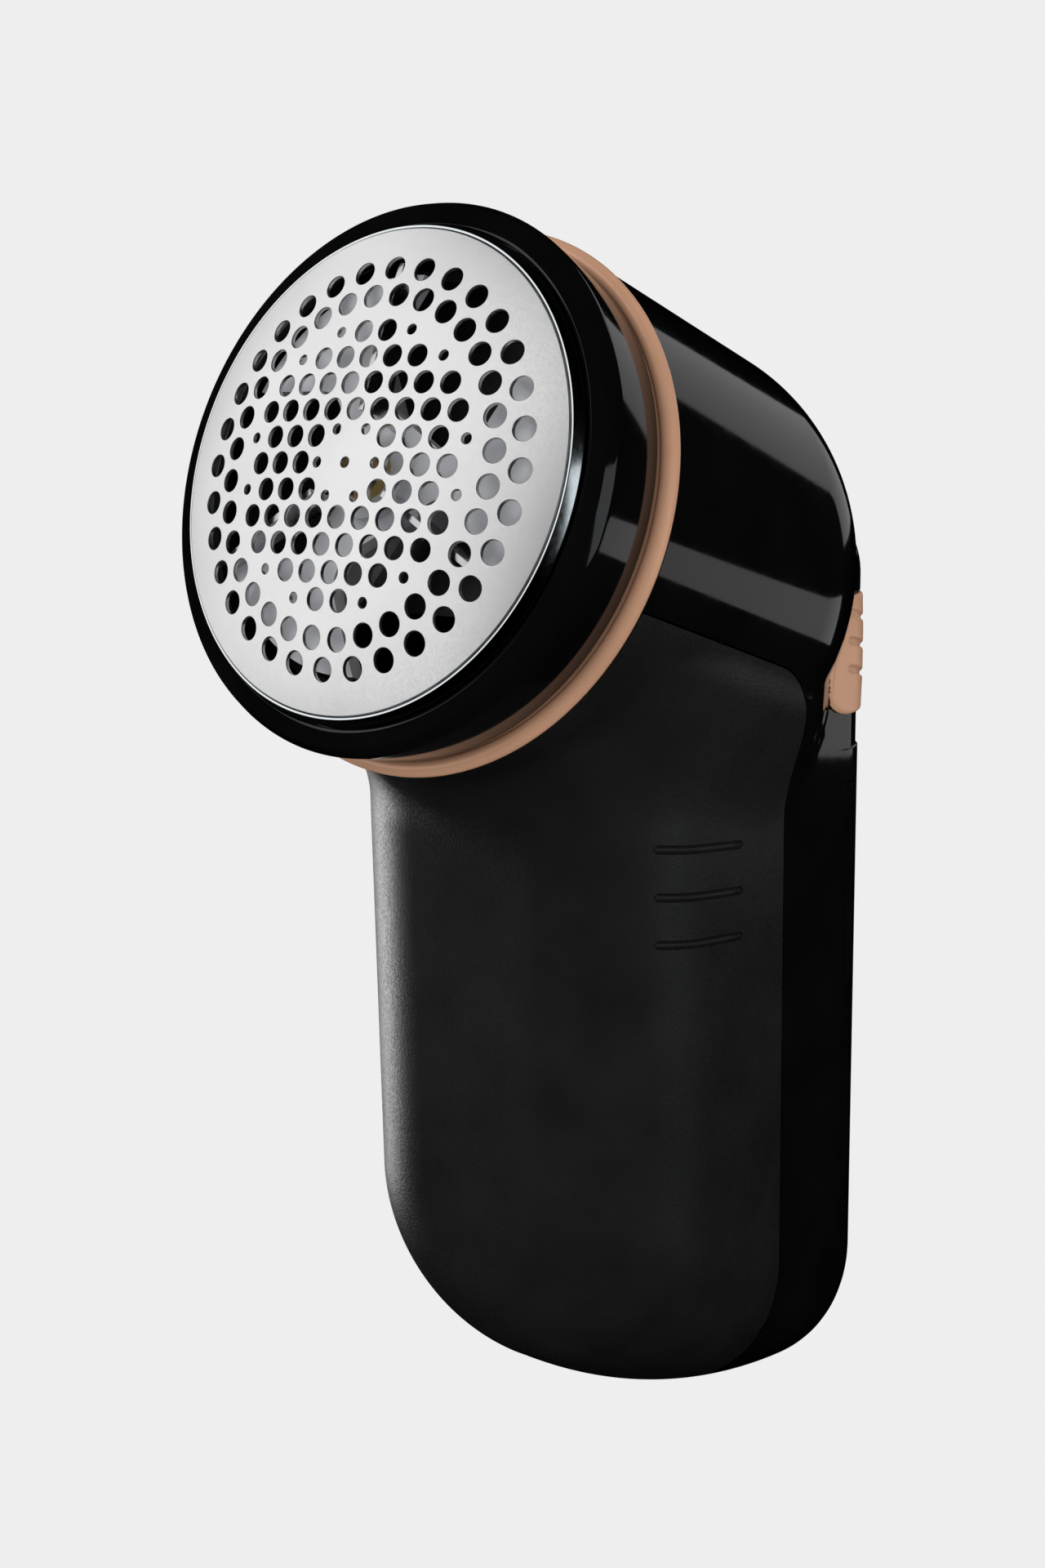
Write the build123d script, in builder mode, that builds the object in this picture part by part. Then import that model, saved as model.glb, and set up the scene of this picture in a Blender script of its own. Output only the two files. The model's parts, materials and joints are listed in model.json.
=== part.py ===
"""Fabric shaver: tilted round cutting head on an elbow-shaped, battery-powered handle.

Frame: +Z up, the head faces -Y, origin at the bottom centre of the whole object. Millimetres.
"""
from build123d import *
from math import cos, radians, sin, sqrt
import os

os.makedirs("parts", exist_ok=True)

# ---------------------------------------------------------------- driving dimensions
HEAD_Y = -29.0             # centre of the cutting head, on the plane of the foil's rim
HEAD_Z = 120.2
HEAD_TILT = 18.19          # the head looks up by this angle
PITCH = 3.05               # spacing of the foil's hexagonal hole pattern

NECK_RADIUS = 28.0
NECK_START = 12.6          # depth behind the head centre where the housing begins
NECK_END_ROUNDING = 21.5

HANDLE_HALF_WIDTH = 21.8
HANDLE_FRONT_Y = -15.35
HANDLE_BACK_Y = 36.3
HANDLE_TOP_Z = 106.0
FRONT_CORNER = 14.0        # radius of the vertical front corners, seen from above
BACK_CORNER = 7.1
TOE_RADIUS = 17.0          # side view: front face into the sloping bottom
TOE_Z = 30.93
SOLE_RADIUS = 95.5         # side view: long arc of the bottom
SOLE_JOIN_Y = -8.6         # where the toe's arc meets the long arc
SOLE_CENTRE = (49.1, 93.53)

PARTING_Y = 14.2           # lint container in front of this plane, housing behind it
PARTING_UP = -9.6          # container stays below this height, across the head axis
PARTING_CORNER = 12.0
CORNER_STEPS = 6           # facets along each rounded corner of the handle
SIDE_STEPS = 5
SEAM_GAP = 0.2             # visible gap between the outer pieces
WALL = 2.0
PARTITION = 1.4            # wall between the lint space and the motor and battery space
DOOR_TOP_Z = 81.5          # top seam of the battery door
DOOR_SIDE_Y = 28.6         # side seam of the battery door

COLLAR_RADIUS = 27.9
COLLAR_BACK_RADIUS = 26.9
COLLAR_LENGTH = 10.1
BEZEL_RADIUS = 24.95
FOIL_RADIUS = 24.0
FOIL_RISE = 2.99
FOIL_THICKNESS = 0.4
RING_DEPTH = 11.5          # accent ring's plane behind the head centre
RING_RADIUS = 27.25
RING_TUBE = 1.1
SPIGOT_RADIUS = 24.45
CHAMBER_RADIUS = 21.9

MOTOR_RADIUS = 10.2
MOTOR_FLAT = 7.7           # half the distance across the can's flats
MOTOR_FRONT = 13.6
MOTOR_LENGTH = 25.0
SHAFT_RADIUS = 1.0

CELL_RADIUS = 7.25         # AA cell
CELL_LENGTH = 49.0
CELL_NUB = 1.5
CELL_X = 7.9
CELL_Y = 25.1
BAY_FLOOR_Z = 14.0
BAY_ROOF_Z = 68.9
CONTACT = 0.3              # thickness of the contact plates

BUTTON_Z = 96.6
BUTTON_SIZE = 14.8
BUTTON_TRAVEL = 4.0
BUTTON_PROUD = 0.55
BUTTON_THICKNESS = 1.0
BUTTON_GAP = 0.15
BUTTON_Y = 27.6            # where the button's stem passes through the side wall

GRIP_START = (19.5, -8.8, 80.9)   # ends of the top grip groove on the +X side
GRIP_END = (21.8, 5.4, 78.8)
GRIP_PITCH = 5.15
GRIP_RADIUS = 0.45

# ---------------------------------------------------------------- head frame
TILT = radians(HEAD_TILT)
HEAD_CENTRE = Vector(0, HEAD_Y, HEAD_Z)
HEAD_AXIS = Vector(0, -cos(TILT), sin(TILT))
HEAD_UP = Vector(0, sin(TILT), cos(TILT))
HEAD = Plane(origin=HEAD_CENTRE, x_dir=(1, 0, 0), z_dir=HEAD_AXIS)
# x = radius, y = distance along the head axis towards the viewer
HEAD_HALF_SECTION = Plane(origin=HEAD_CENTRE, x_dir=(1, 0, 0), z_dir=Vector(1, 0, 0).cross(HEAD_AXIS))
SPIN = Axis(HEAD_CENTRE, HEAD_AXIS)
SIDE = Plane.YZ            # x = Y, y = Z


def save(solid, name):
    """Label a finished piece and write it."""
    solid.label = name
    export_step(solid, f"parts/{name}.step")


def head_ring(name, outline):
    """Turn a closed (radius, axial) outline about the head axis."""
    with BuildPart() as ring:
        with BuildSketch(HEAD_HALF_SECTION):
            with BuildLine():
                Polyline(*outline, close=True)
            make_face()
        revolve(axis=SPIN)
    save(ring.part, name)
    return ring.part


def sole_z(y, inset=0.0):
    """Height of the handle's underside on the middle plane at a given Y."""
    toe_y = HANDLE_FRONT_Y + TOE_RADIUS
    heel_y = HANDLE_BACK_Y - BACK_CORNER
    centre_y, centre_z = SOLE_CENTRE
    if y < SOLE_JOIN_Y:
        reach = max(0.0, (TOE_RADIUS - inset) ** 2 - (toe_y - y) ** 2)
        return TOE_Z - sqrt(reach)
    z = centre_z - sqrt((SOLE_RADIUS - inset) ** 2 - (centre_y - y) ** 2)
    if y > heel_y:
        radius = BACK_CORNER - inset
        z += radius - sqrt(max(0.0, radius ** 2 - (y - heel_y) ** 2))
    return z


def half_width(y, inset=0.0):
    """Half the handle's width at a given Y, with its rounded front and back corners."""
    front_y = HANDLE_FRONT_Y + FRONT_CORNER
    back_y = HANDLE_BACK_Y - BACK_CORNER
    if y < front_y:
        radius = FRONT_CORNER - inset
        flat = HANDLE_HALF_WIDTH - FRONT_CORNER
        return flat + sqrt(max(0.0, radius ** 2 - (front_y - y) ** 2))
    if y > back_y:
        radius = BACK_CORNER - inset
        flat = HANDLE_HALF_WIDTH - BACK_CORNER
        return flat + sqrt(max(0.0, radius ** 2 - (y - back_y) ** 2))
    return HANDLE_HALF_WIDTH - inset


def handle_solid(inset=0.0, top_z=HANDLE_TOP_Z):
    """Handle without the neck: upright U-shaped sections joined from front to back."""
    front = FRONT_CORNER - inset
    back = BACK_CORNER - inset
    front_y = HANDLE_FRONT_Y + FRONT_CORNER
    back_y = HANDLE_BACK_Y - BACK_CORNER
    turns = [radians(90 * i / CORNER_STEPS) for i in range(CORNER_STEPS + 1)]
    stations = [front_y - front * cos(turn) for turn in turns]
    stations += [front_y + (back_y - front_y) * i / SIDE_STEPS for i in range(1, SIDE_STEPS)]
    stations += [back_y + back * sin(turn) for turn in turns]
    with BuildPart() as body:
        for y in stations:
            half = half_width(y, inset)
            bottom = sole_z(y, inset)
            spring_z = bottom + half
            with BuildSketch(Plane(origin=(0, y, 0), x_dir=(1, 0, 0), z_dir=(0, -1, 0))):
                with BuildLine():
                    Polyline((-half, spring_z), (-half, top_z), (half, top_z), (half, spring_z))
                    ThreePointArc((half, spring_z), (0, bottom), (-half, spring_z))
                make_face()
        loft(ruled=True)
    return body.part


def neck_solid(inset=0.0, start=NECK_START):
    """Round neck behind the head, with a rounded end that reaches the back of the handle."""
    radius = NECK_RADIUS - inset
    rounding = NECK_END_ROUNDING - inset
    flat = NECK_RADIUS - NECK_END_ROUNDING
    arc_depth = (HANDLE_BACK_Y - HEAD_Y - NECK_END_ROUNDING - flat * sin(TILT)) / cos(TILT)
    with BuildPart() as body:
        with BuildSketch(HEAD_HALF_SECTION):
            with BuildLine():
                Polyline((flat, -arc_depth - rounding), (0, -arc_depth - rounding), (0, -start),
                         (radius, -start), (radius, -arc_depth))
                RadiusArc((radius, -arc_depth), (flat, -arc_depth - rounding), rounding)
            make_face()
        revolve(axis=SPIN)
    return body.part


def shoulder_solid(inset=0.0):
    """Top of the handle, drawn in until it is inside the round end of the neck."""
    top_z = HANDLE_TOP_Z + 8.0
    with BuildPart() as body:
        for z, half, back, corner in ((HANDLE_TOP_Z, HANDLE_HALF_WIDTH, HANDLE_BACK_Y, BACK_CORNER),
                                      (top_z, HANDLE_HALF_WIDTH - 4.0, HANDLE_BACK_Y - 3.0, BACK_CORNER + 4.0)):
            with BuildSketch(Plane.XY.offset(z)) as outline:
                with Locations((0, back / 2 - inset / 2)):
                    Rectangle(2 * (half - inset), back - inset)
                fillet(outline.vertices().group_by(Axis.Y)[-1], corner - inset)
        loft(ruled=True)
    return body.part


def outer_solid(inset=0.0, neck_start=NECK_START):
    """The whole outside form of neck and handle, or the same form inset by a wall."""
    with BuildPart() as body:
        add(handle_solid(inset))
        add(shoulder_solid(inset))
        add(neck_solid(inset, neck_start))
    return body.part


def head_point(depth, up):
    """(Y, Z) of a point on the middle plane, from its depth behind the head and height across the axis."""
    spot = HEAD_CENTRE - HEAD_AXIS * depth + HEAD_UP * up
    return (spot.Y, spot.Z)


def front_region(back_y, up, start):
    """Block that holds everything below and in front of the parting line."""
    start_y, start_z = head_point(start, up)
    corner_z = start_z - (back_y - start_y) * sin(TILT) / cos(TILT)
    low_y, low_z = head_point(start, -60)
    with BuildPart() as region:
        with BuildSketch(SIDE) as outline:
            with BuildLine():
                Polyline((start_y, start_z), (back_y, corner_z), (back_y, -10), (low_y, -10), (low_y, low_z),
                         close=True)
            make_face()
            fillet(outline.vertices().sort_by_distance((back_y, corner_z, 0))[0], PARTING_CORNER)
        extrude(amount=40, both=True)
    return region.part


def foil_height(radius):
    """Height of the foil's outer face above its rim plane."""
    return FOIL_RISE * (1 - (radius / FOIL_RADIUS) ** 2)


# ---------------------------------------------------------------- shared solids
outer = outer_solid()
inner = outer_solid(WALL, NECK_START + WALL)
lint_space = outer_solid(WALL, NECK_START - WALL)

with BuildPart() as door_block:
    with BuildSketch(SIDE):
        with BuildLine():
            Polyline((DOOR_SIDE_Y, -10), (DOOR_SIDE_Y, DOOR_TOP_Z), (60, DOOR_TOP_Z), (60, -10), close=True)
        make_face()
    extrude(amount=40, both=True)

rear_corner = Plane(origin=(HANDLE_HALF_WIDTH - BACK_CORNER, HANDLE_BACK_Y - BACK_CORNER, BUTTON_Z),
                    x_dir=(-1, 1, 0), z_dir=(1, 1, 0))
with BuildPart() as button_block:
    with BuildSketch(rear_corner):
        RectangleRounded(BUTTON_SIZE, BUTTON_SIZE, 4.4)
    extrude(amount=20)
with BuildPart() as button_track:
    with BuildSketch(rear_corner):
        with Locations((0, -BUTTON_TRAVEL / 2)):
            RectangleRounded(BUTTON_SIZE + 0.5, BUTTON_SIZE + BUTTON_TRAVEL + 0.5, 4.6)
    extrude(amount=20)

# ---------------------------------------------------------------- head: the guard that screws off
with BuildPart() as guard_foil:
    foil_skirt = -1.3
    rim_in = FOIL_RADIUS - FOIL_THICKNESS
    with BuildSketch(HEAD_HALF_SECTION):
        with BuildLine():
            ThreePointArc((0, FOIL_RISE), (FOIL_RADIUS / 2, foil_height(FOIL_RADIUS / 2)), (FOIL_RADIUS, 0))
            Polyline((FOIL_RADIUS, 0), (FOIL_RADIUS, foil_skirt), (rim_in, foil_skirt),
                     (rim_in, -FOIL_THICKNESS))
            ThreePointArc((rim_in, -FOIL_THICKNESS),
                          (FOIL_RADIUS / 2, foil_height(FOIL_RADIUS / 2) - FOIL_THICKNESS),
                          (0, FOIL_RISE - FOIL_THICKNESS))
            Line((0, FOIL_RISE - FOIL_THICKNESS), (0, FOIL_RISE))
        make_face()
    revolve(axis=SPIN)
    row_height = PITCH * sqrt(3) / 2
    with BuildSketch(HEAD.offset(-FOIL_THICKNESS - 0.5)):
        # hexagonal field of large holes, small holes near its middle and at its corners
        for row in range(-5, 6):
            for column in range(-10, 11):
                spot = (PITCH * (column + (row % 2) / 2), row_height * row)
                reach = sqrt(spot[0] ** 2 + spot[1] ** 2) / PITCH
                if 1.1 < reach < 4.4:
                    with Locations(spot):
                        Circle(0.39 * PITCH)
                elif 4.4 < reach < 4.7:
                    with Locations(spot):
                        Circle(0.2 * PITCH)
        Circle(0.2 * PITCH)
        with PolarLocations(1.234 * PITCH, 6):
            Circle(0.2 * PITCH)
        # two rings of holes round the edge, half a step apart
        with PolarLocations(6.49 * PITCH, 32):
            Circle(0.41 * PITCH)
        with PolarLocations(5.554 * PITCH, 32, start_angle=360 / 64):
            Circle(0.41 * PITCH)
    extrude(amount=6, mode=Mode.SUBTRACT)
save(guard_foil.part, "guard_foil")

head_ring("guard_bezel", ((22.5, -2.6), (BEZEL_RADIUS, -2.6), (BEZEL_RADIUS, -2.0),
                          (24.3, 0), (24.15, 0), (24.15, -1.5), (22.5, -1.5)))
head_ring("guard_collar", ((22.3, -3.9), (22.3, -2.7), (BEZEL_RADIUS + 0.1, -2.7), (BEZEL_RADIUS + 0.1, -1.95),
                           (25.6, -1.75), (26.7, -1.8), (27.5, -2.2), (COLLAR_RADIUS, -3.2),
                           (COLLAR_BACK_RADIUS, -COLLAR_LENGTH), (24.95, -COLLAR_LENGTH), (24.95, -4.5), (24.3, -3.9)))
head_ring("neck_seal", ((23.65, -8.7), (23.65, -7.7), (24.1, -7.5), (24.75, -8.0), (24.75, -8.4),
                        (24.1, -8.9)))

# ---------------------------------------------------------------- outside pieces
with BuildPart() as accent_ring:
    with BuildSketch(HEAD_HALF_SECTION):
        with Locations((RING_RADIUS, -RING_DEPTH)):
            Circle(RING_TUBE)
        with Locations(((25.3 + RING_RADIUS) / 2, -RING_DEPTH)):
            Rectangle(RING_RADIUS - 25.3, 1.2)
    revolve(axis=SPIN)
save(accent_ring.part, "accent_ring")

with BuildPart() as main_housing:
    add(outer)
    add(front_region(PARTING_Y, PARTING_UP, NECK_START), mode=Mode.SUBTRACT)
    add(door_block.part, mode=Mode.SUBTRACT)
    add(inner - front_region(PARTING_Y + PARTITION, PARTING_UP + PARTITION, NECK_START - 20),
        mode=Mode.SUBTRACT)
    # spigot that carries the guard, with the seat of the accent ring behind it
    with BuildSketch(HEAD_HALF_SECTION):
        with BuildLine():
            Polyline((22.3, -5.0), (SPIGOT_RADIUS, -5.0), (SPIGOT_RADIUS, -7.4), (23.55, -7.4),
                     (23.55, -9.0), (SPIGOT_RADIUS, -9.0), (SPIGOT_RADIUS, -11.0), (25.2, -11.0),
                     (25.2, -NECK_START), (22.3, -NECK_START), close=True)
        make_face()
    revolve(axis=SPIN)
    # round opening for the cutter chamber
    with BuildSketch(HEAD.offset(-NECK_START - WALL - 1)):
        Circle(22.3)
    extrude(amount=12, mode=Mode.SUBTRACT)
    # recess for the seal between spigot and lint container
    with BuildSketch(HEAD.offset(-NECK_START)):
        with Locations((0, -18)):
            Rectangle(60, 14)
        Circle(24.3, mode=Mode.INTERSECT)
        Circle(23.0, mode=Mode.SUBTRACT)
    extrude(amount=0.6, mode=Mode.SUBTRACT)
    # shallow track for the button, and the slot for its stem
    add((outer - outer_solid(BUTTON_THICKNESS - BUTTON_PROUD + BUTTON_GAP)) & button_track.part,
        mode=Mode.SUBTRACT)
    with Locations((HANDLE_HALF_WIDTH, BUTTON_Y, BUTTON_Z - BUTTON_TRAVEL / 2)):
        Box(8, 2.2, 4.6 + BUTTON_TRAVEL, mode=Mode.SUBTRACT)
    # holes for the screws that hold the battery cradle
    with Locations(Plane(origin=(0, PARTING_Y + PARTITION, 75), x_dir=(1, 0, 0), z_dir=(0, 1, 0))):
        with Locations((-12, 0), (12, 0)):
            Hole(1.15, depth=PARTITION - 0.3)
save(main_housing.part, "main_housing")

with BuildPart() as lint_container:
    add(outer & front_region(PARTING_Y - SEAM_GAP, PARTING_UP - SEAM_GAP, NECK_START + SEAM_GAP))
    add(lint_space & front_region(PARTING_Y - SEAM_GAP - PARTITION, PARTING_UP - SEAM_GAP - PARTITION,
                                  NECK_START - WALL), mode=Mode.SUBTRACT)
    # three grip grooves on each side
    for side in (-1, 1):
        for row in range(3):
            drop = Vector(0, 0, GRIP_PITCH * row)
            start = Vector(side * GRIP_START[0], *GRIP_START[1:]) - drop
            end = Vector(side * GRIP_END[0], *GRIP_END[1:]) - drop
            with BuildSketch(Plane(origin=start, z_dir=end - start)):
                Circle(GRIP_RADIUS)
            extrude(amount=(end - start).length, mode=Mode.SUBTRACT)
save(lint_container.part, "lint_container")

with BuildPart() as battery_door:
    add(outer & door_block.part)
    with BuildSketch(SIDE):
        with BuildLine():
            Polyline((0, -10), (DOOR_SIDE_Y + SEAM_GAP, -10), (DOOR_SIDE_Y + SEAM_GAP, DOOR_TOP_Z - SEAM_GAP),
                     (60, DOOR_TOP_Z - SEAM_GAP), (60, DOOR_TOP_Z + 10), (0, DOOR_TOP_Z + 10), close=True)
        make_face()
    extrude(amount=40, both=True, mode=Mode.SUBTRACT)
    add(inner, mode=Mode.SUBTRACT)
save(battery_door.part, "battery_door")

# ---------------------------------------------------------------- on/off slide
with BuildPart() as slide_button:
    add(outer_solid(-BUTTON_PROUD) & button_block.part)
    add(outer_solid(BUTTON_THICKNESS - BUTTON_PROUD), mode=Mode.SUBTRACT)
    with Locations((HANDLE_HALF_WIDTH - 2.0, BUTTON_Y, BUTTON_Z)):
        Box(4.0, 1.8, 4.0)
save(slide_button.part, "slide_button")

with BuildPart() as switch_slider:
    with Locations((16.9, BUTTON_Y - 1.2, BUTTON_Z)):
        Box(1.2, 7.0, 9.0)
    with Locations((15.7, BUTTON_Y - 1.2, BUTTON_Z)):
        Box(1.4, 2.0, 2.4)
save(switch_slider.part, "switch_slider")

SWITCH_HEIGHT = 15.0
SWITCH_Z = BUTTON_Z - BUTTON_TRAVEL / 2
SWITCH_BASE_Z = SWITCH_Z - SWITCH_HEIGHT / 2
SWITCH_Y = BUTTON_Y - 1.2
with BuildPart() as switch_body:
    with Locations((12.4, BUTTON_Y - 1.2, SWITCH_Z)):
        Box(7.2, 6.4, SWITCH_HEIGHT)
    with Locations((15.3, BUTTON_Y - 1.2, SWITCH_Z)):
        Box(1.8, 2.6, 3.0 + BUTTON_TRAVEL, mode=Mode.SUBTRACT)
save(switch_body.part, "switch_body")

with BuildPart() as switch_terminals:
    for step in (-4.5, 0, 4.5):
        with Locations((7.6, BUTTON_Y - 1.2, SWITCH_Z + step)):
            Box(2.4, 2.2, 0.4)
save(switch_terminals.part, "switch_terminals")

# ---------------------------------------------------------------- cutter chamber and motor
with BuildPart() as cutter_chamber:
    with BuildSketch(HEAD_HALF_SECTION):
        with BuildLine():
            Polyline((3.2, -12.4), (CHAMBER_RADIUS, -12.4), (CHAMBER_RADIUS, -5.4), (20.7, -5.4),
                     (20.7, -11.0), (3.2, -11.0), close=True)
        make_face()
    revolve(axis=SPIN)
    # outlet through which the lint falls into the container
    with BuildSketch(HEAD.offset(-13)):
        with Locations((0, -16)):
            Rectangle(26, 8.4)
        Circle(20.0, mode=Mode.INTERSECT)
    extrude(amount=3, mode=Mode.SUBTRACT)
    with BuildSketch(HEAD.offset(-13)):
        with Locations((-7.5, 0), (7.5, 0)):
            Circle(1.1)
    extrude(amount=3, mode=Mode.SUBTRACT)
save(cutter_chamber.part, "cutter_chamber")

with BuildPart() as mouth_seal:
    with BuildSketch(HEAD.offset(-NECK_START)):
        with Locations((0, -18)):
            Rectangle(60, 13.8)
        Circle(24.2, mode=Mode.INTERSECT)
        Circle(23.1, mode=Mode.SUBTRACT)
    extrude(amount=0.5)
save(mouth_seal.part, "mouth_seal")

with BuildPart() as motor_damper:
    with BuildSketch(HEAD.offset(-MOTOR_FRONT + 0.1)):
        Circle(9.6)
        Rectangle(30, 2 * MOTOR_FLAT, mode=Mode.INTERSECT)
        Circle(3.4, mode=Mode.SUBTRACT)
        with Locations((-7.5, 0), (7.5, 0)):
            Circle(1.2, mode=Mode.SUBTRACT)
    extrude(amount=1.0)
save(motor_damper.part, "motor_damper")

MOTOR_BACK = MOTOR_FRONT + MOTOR_LENGTH
CAN_WALL = 0.8
with BuildPart() as motor_can:
    with BuildSketch(HEAD.offset(-MOTOR_BACK)):
        Circle(MOTOR_RADIUS)
        Rectangle(30, 2 * MOTOR_FLAT, mode=Mode.INTERSECT)
    extrude(amount=MOTOR_LENGTH)
    with BuildSketch(HEAD.offset(-MOTOR_BACK)):
        Circle(MOTOR_RADIUS - CAN_WALL)
        Rectangle(30, 2 * (MOTOR_FLAT - CAN_WALL), mode=Mode.INTERSECT)
    extrude(amount=MOTOR_LENGTH - CAN_WALL, mode=Mode.SUBTRACT)
    with BuildSketch(HEAD.offset(-MOTOR_FRONT)):
        Circle(3.0)
    extrude(amount=1.3)
    with BuildSketch(HEAD.offset(-MOTOR_FRONT - 3)):
        Circle(SHAFT_RADIUS + 0.05)
        with Locations((-7.5, 0), (7.5, 0)):
            Circle(0.95)
    extrude(amount=6, mode=Mode.SUBTRACT)
save(motor_can.part, "motor_can")

with BuildPart() as motor_end_cap:
    with BuildSketch(HEAD.offset(-MOTOR_BACK)):
        Circle(MOTOR_RADIUS - 0.2)
        Rectangle(30, 2 * MOTOR_FLAT - 0.4, mode=Mode.INTERSECT)
    extrude(amount=-2.0)
    with BuildSketch(HEAD.offset(-MOTOR_BACK - 2.0)):
        Circle(3.0)
    extrude(amount=-1.0)
    with BuildSketch(HEAD.offset(-MOTOR_BACK - 4.0)):
        Circle(SHAFT_RADIUS + 0.05)
    extrude(amount=6, mode=Mode.SUBTRACT)
save(motor_end_cap.part, "motor_end_cap")

with BuildPart() as motor_magnets:
    with BuildSketch(HEAD.offset(-MOTOR_FRONT - 21)):
        Circle(MOTOR_RADIUS - CAN_WALL - 0.05)
        Rectangle(30, 2 * (MOTOR_FLAT - CAN_WALL) - 0.6, mode=Mode.INTERSECT)
        Circle(7.0, mode=Mode.SUBTRACT)
        Rectangle(8, 30, mode=Mode.SUBTRACT)
    extrude(amount=16)
save(motor_magnets.part, "motor_magnets")

with BuildPart() as motor_terminals:
    with BuildSketch(HEAD.offset(-MOTOR_BACK - 2.0)):
        with Locations((-6.5, 0), (6.5, 0)):
            Rectangle(0.4, 2.2)
    extrude(amount=-3.6)
save(motor_terminals.part, "motor_terminals")

with BuildPart() as motor_capacitor:
    with BuildSketch(HEAD.offset(-MOTOR_BACK - 4.2)):
        with Locations((0, 4.6)):
            RectangleRounded(5.6, 2.2, 1.0)
    extrude(amount=-4.6)
save(motor_capacitor.part, "motor_capacitor")

with BuildPart() as motor_screws:
    with BuildSketch(HEAD.offset(-MOTOR_FRONT - 1.6)):
        with Locations((-7.5, 0), (7.5, 0)):
            Circle(0.9)
    extrude(amount=MOTOR_FRONT + 1.6 - 11.0)
    with BuildSketch(HEAD.offset(-11.0)):
        with Locations((-7.5, 0), (7.5, 0)):
            Circle(1.8)
    extrude(amount=0.9)
    with BuildSketch(HEAD.offset(-10.5)):
        with Locations((-7.5, 0), (7.5, 0)):
            Rectangle(2.4, 0.5)
            Rectangle(0.5, 2.4)
    extrude(amount=0.5, mode=Mode.SUBTRACT)
save(motor_screws.part, "motor_screws")

# ---------------------------------------------------------------- what the motor turns
with BuildPart() as motor_armature:
    with BuildSketch(HEAD.offset(-MOTOR_FRONT - 19)):
        Circle(6.5)
        with PolarLocations(4.6, 3):
            Rectangle(4.4, 1.4, mode=Mode.SUBTRACT)
    extrude(amount=13)
    with BuildSketch(HEAD.offset(-MOTOR_FRONT - 23.5)):
        Circle(2.6)
    extrude(amount=5)
    with BuildSketch(HEAD.offset(-MOTOR_FRONT - 24)):
        Circle(SHAFT_RADIUS)
    extrude(amount=24, mode=Mode.SUBTRACT)
save(motor_armature.part, "motor_armature")

with BuildPart() as motor_shaft:
    with BuildSketch(HEAD.offset(-MOTOR_BACK - 3.4)):
        Circle(SHAFT_RADIUS)
    extrude(amount=MOTOR_BACK + 3.4 - 1.4)
save(motor_shaft.part, "motor_shaft")

ARM_TOP = -1.6
ARM_LENGTH = 20.0
with BuildPart() as blade_carrier:
    with BuildSketch(HEAD.offset(ARM_TOP - 1.6)):
        Circle(ARM_LENGTH)
        # three wide gaps leave three arms
        with PolarLocations(14.2, 3, start_angle=60):
            RectangleRounded(16.5, 17, 3.5, mode=Mode.SUBTRACT)
    extrude(amount=1.6)
    with BuildSketch(HEAD.offset(-9.4)):
        Circle(4.6)
    extrude(amount=9.0)
    # fan vanes under the arms draw the lint through the holes
    with BuildSketch(HEAD.offset(-9.0)):
        with PolarLocations(11.6, 3):
            Rectangle(15.6, 1.2)
    extrude(amount=6.0)
    with BuildSketch(HEAD.offset(-9.6)):
        Circle(SHAFT_RADIUS)
    extrude(amount=8.2, mode=Mode.SUBTRACT)
    with BuildSketch(HEAD.offset(-9.4)):
        Circle(2.9)
        Circle(1.6, mode=Mode.SUBTRACT)
    extrude(amount=3.0, mode=Mode.SUBTRACT)
save(blade_carrier.part, "blade_carrier")

BLADE_GAP = 0.3
for number in range(3):
    turn = radians(90 + 120 * number)
    along = Vector(cos(turn), 0, 0) + HEAD_UP * sin(turn)
    blade_plane = Plane(origin=HEAD_CENTRE, x_dir=along, z_dir=along.cross(HEAD_AXIS))
    below = FOIL_THICKNESS + BLADE_GAP
    with BuildPart() as cutter_blade:
        with BuildSketch(blade_plane):
            with BuildLine():
                ThreePointArc((5.4, foil_height(5.4) - below), (13, foil_height(13) - below),
                              (20.6, foil_height(20.6) - below))
                Polyline((20.6, foil_height(20.6) - below), (19.6, ARM_TOP), (5.4, ARM_TOP),
                         (5.4, foil_height(5.4) - below))
            make_face()
        extrude(amount=0.3, both=True)
    save(cutter_blade.part, f"cutter_blade_{number + 1}")

head_ring("hub_cap", ((0, -0.35), (2.9, -0.35), (2.9, 0.9), (2.2, 1.5), (0, 1.5)))

with BuildPart() as carrier_spring:
    coil = Helix(pitch=1.0, height=4.6, radius=2.25, center=HEAD_CENTRE - HEAD_AXIS * 11.6,
                 direction=HEAD_AXIS)
    with BuildSketch(Plane(origin=coil @ 0, z_dir=coil % 0)):
        Circle(0.28)
    sweep(path=coil, is_frenet=True)
save(carrier_spring.part, "carrier_spring")

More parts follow.
